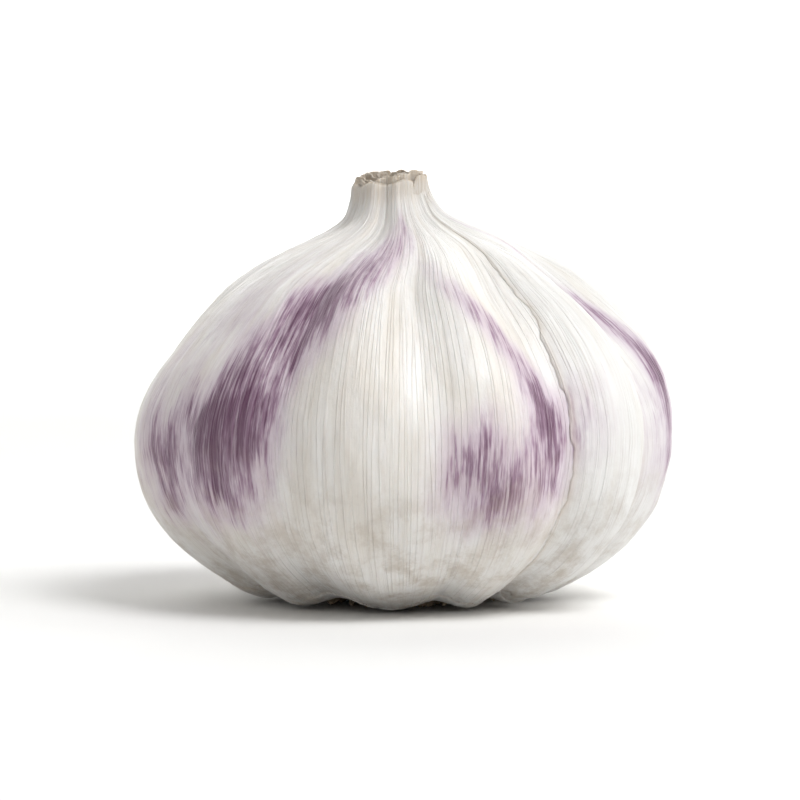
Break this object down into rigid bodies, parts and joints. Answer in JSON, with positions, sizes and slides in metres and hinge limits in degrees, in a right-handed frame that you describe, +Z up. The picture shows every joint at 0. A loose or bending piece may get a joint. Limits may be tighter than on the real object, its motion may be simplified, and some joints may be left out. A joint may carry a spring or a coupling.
{
  "type": "garlic bulb",
  "caption": "Whole dry garlic bulb in white papery skin streaked with purple, with a short cut neck, standing on its flat trimmed root plate.",
  "frame": {"origin": "centre of the flat underside of the trimmed root plate, on the surface that the bulb stands on", "axes": "+Z up along the bulb from the roots to the neck; -Y is the front, with the strongest purple streaks; +X is to the right seen from the front"},
  "size_m": [0.0575, 0.0583, 0.0457],
  "materials": {
    "papery_skin": "satin",
    "dry_root": "matte"
  },
  "bodies": {
    "root": {"bulb": "papery_skin", "root_plate": "dry_root"}
  },
  "joints": []
}
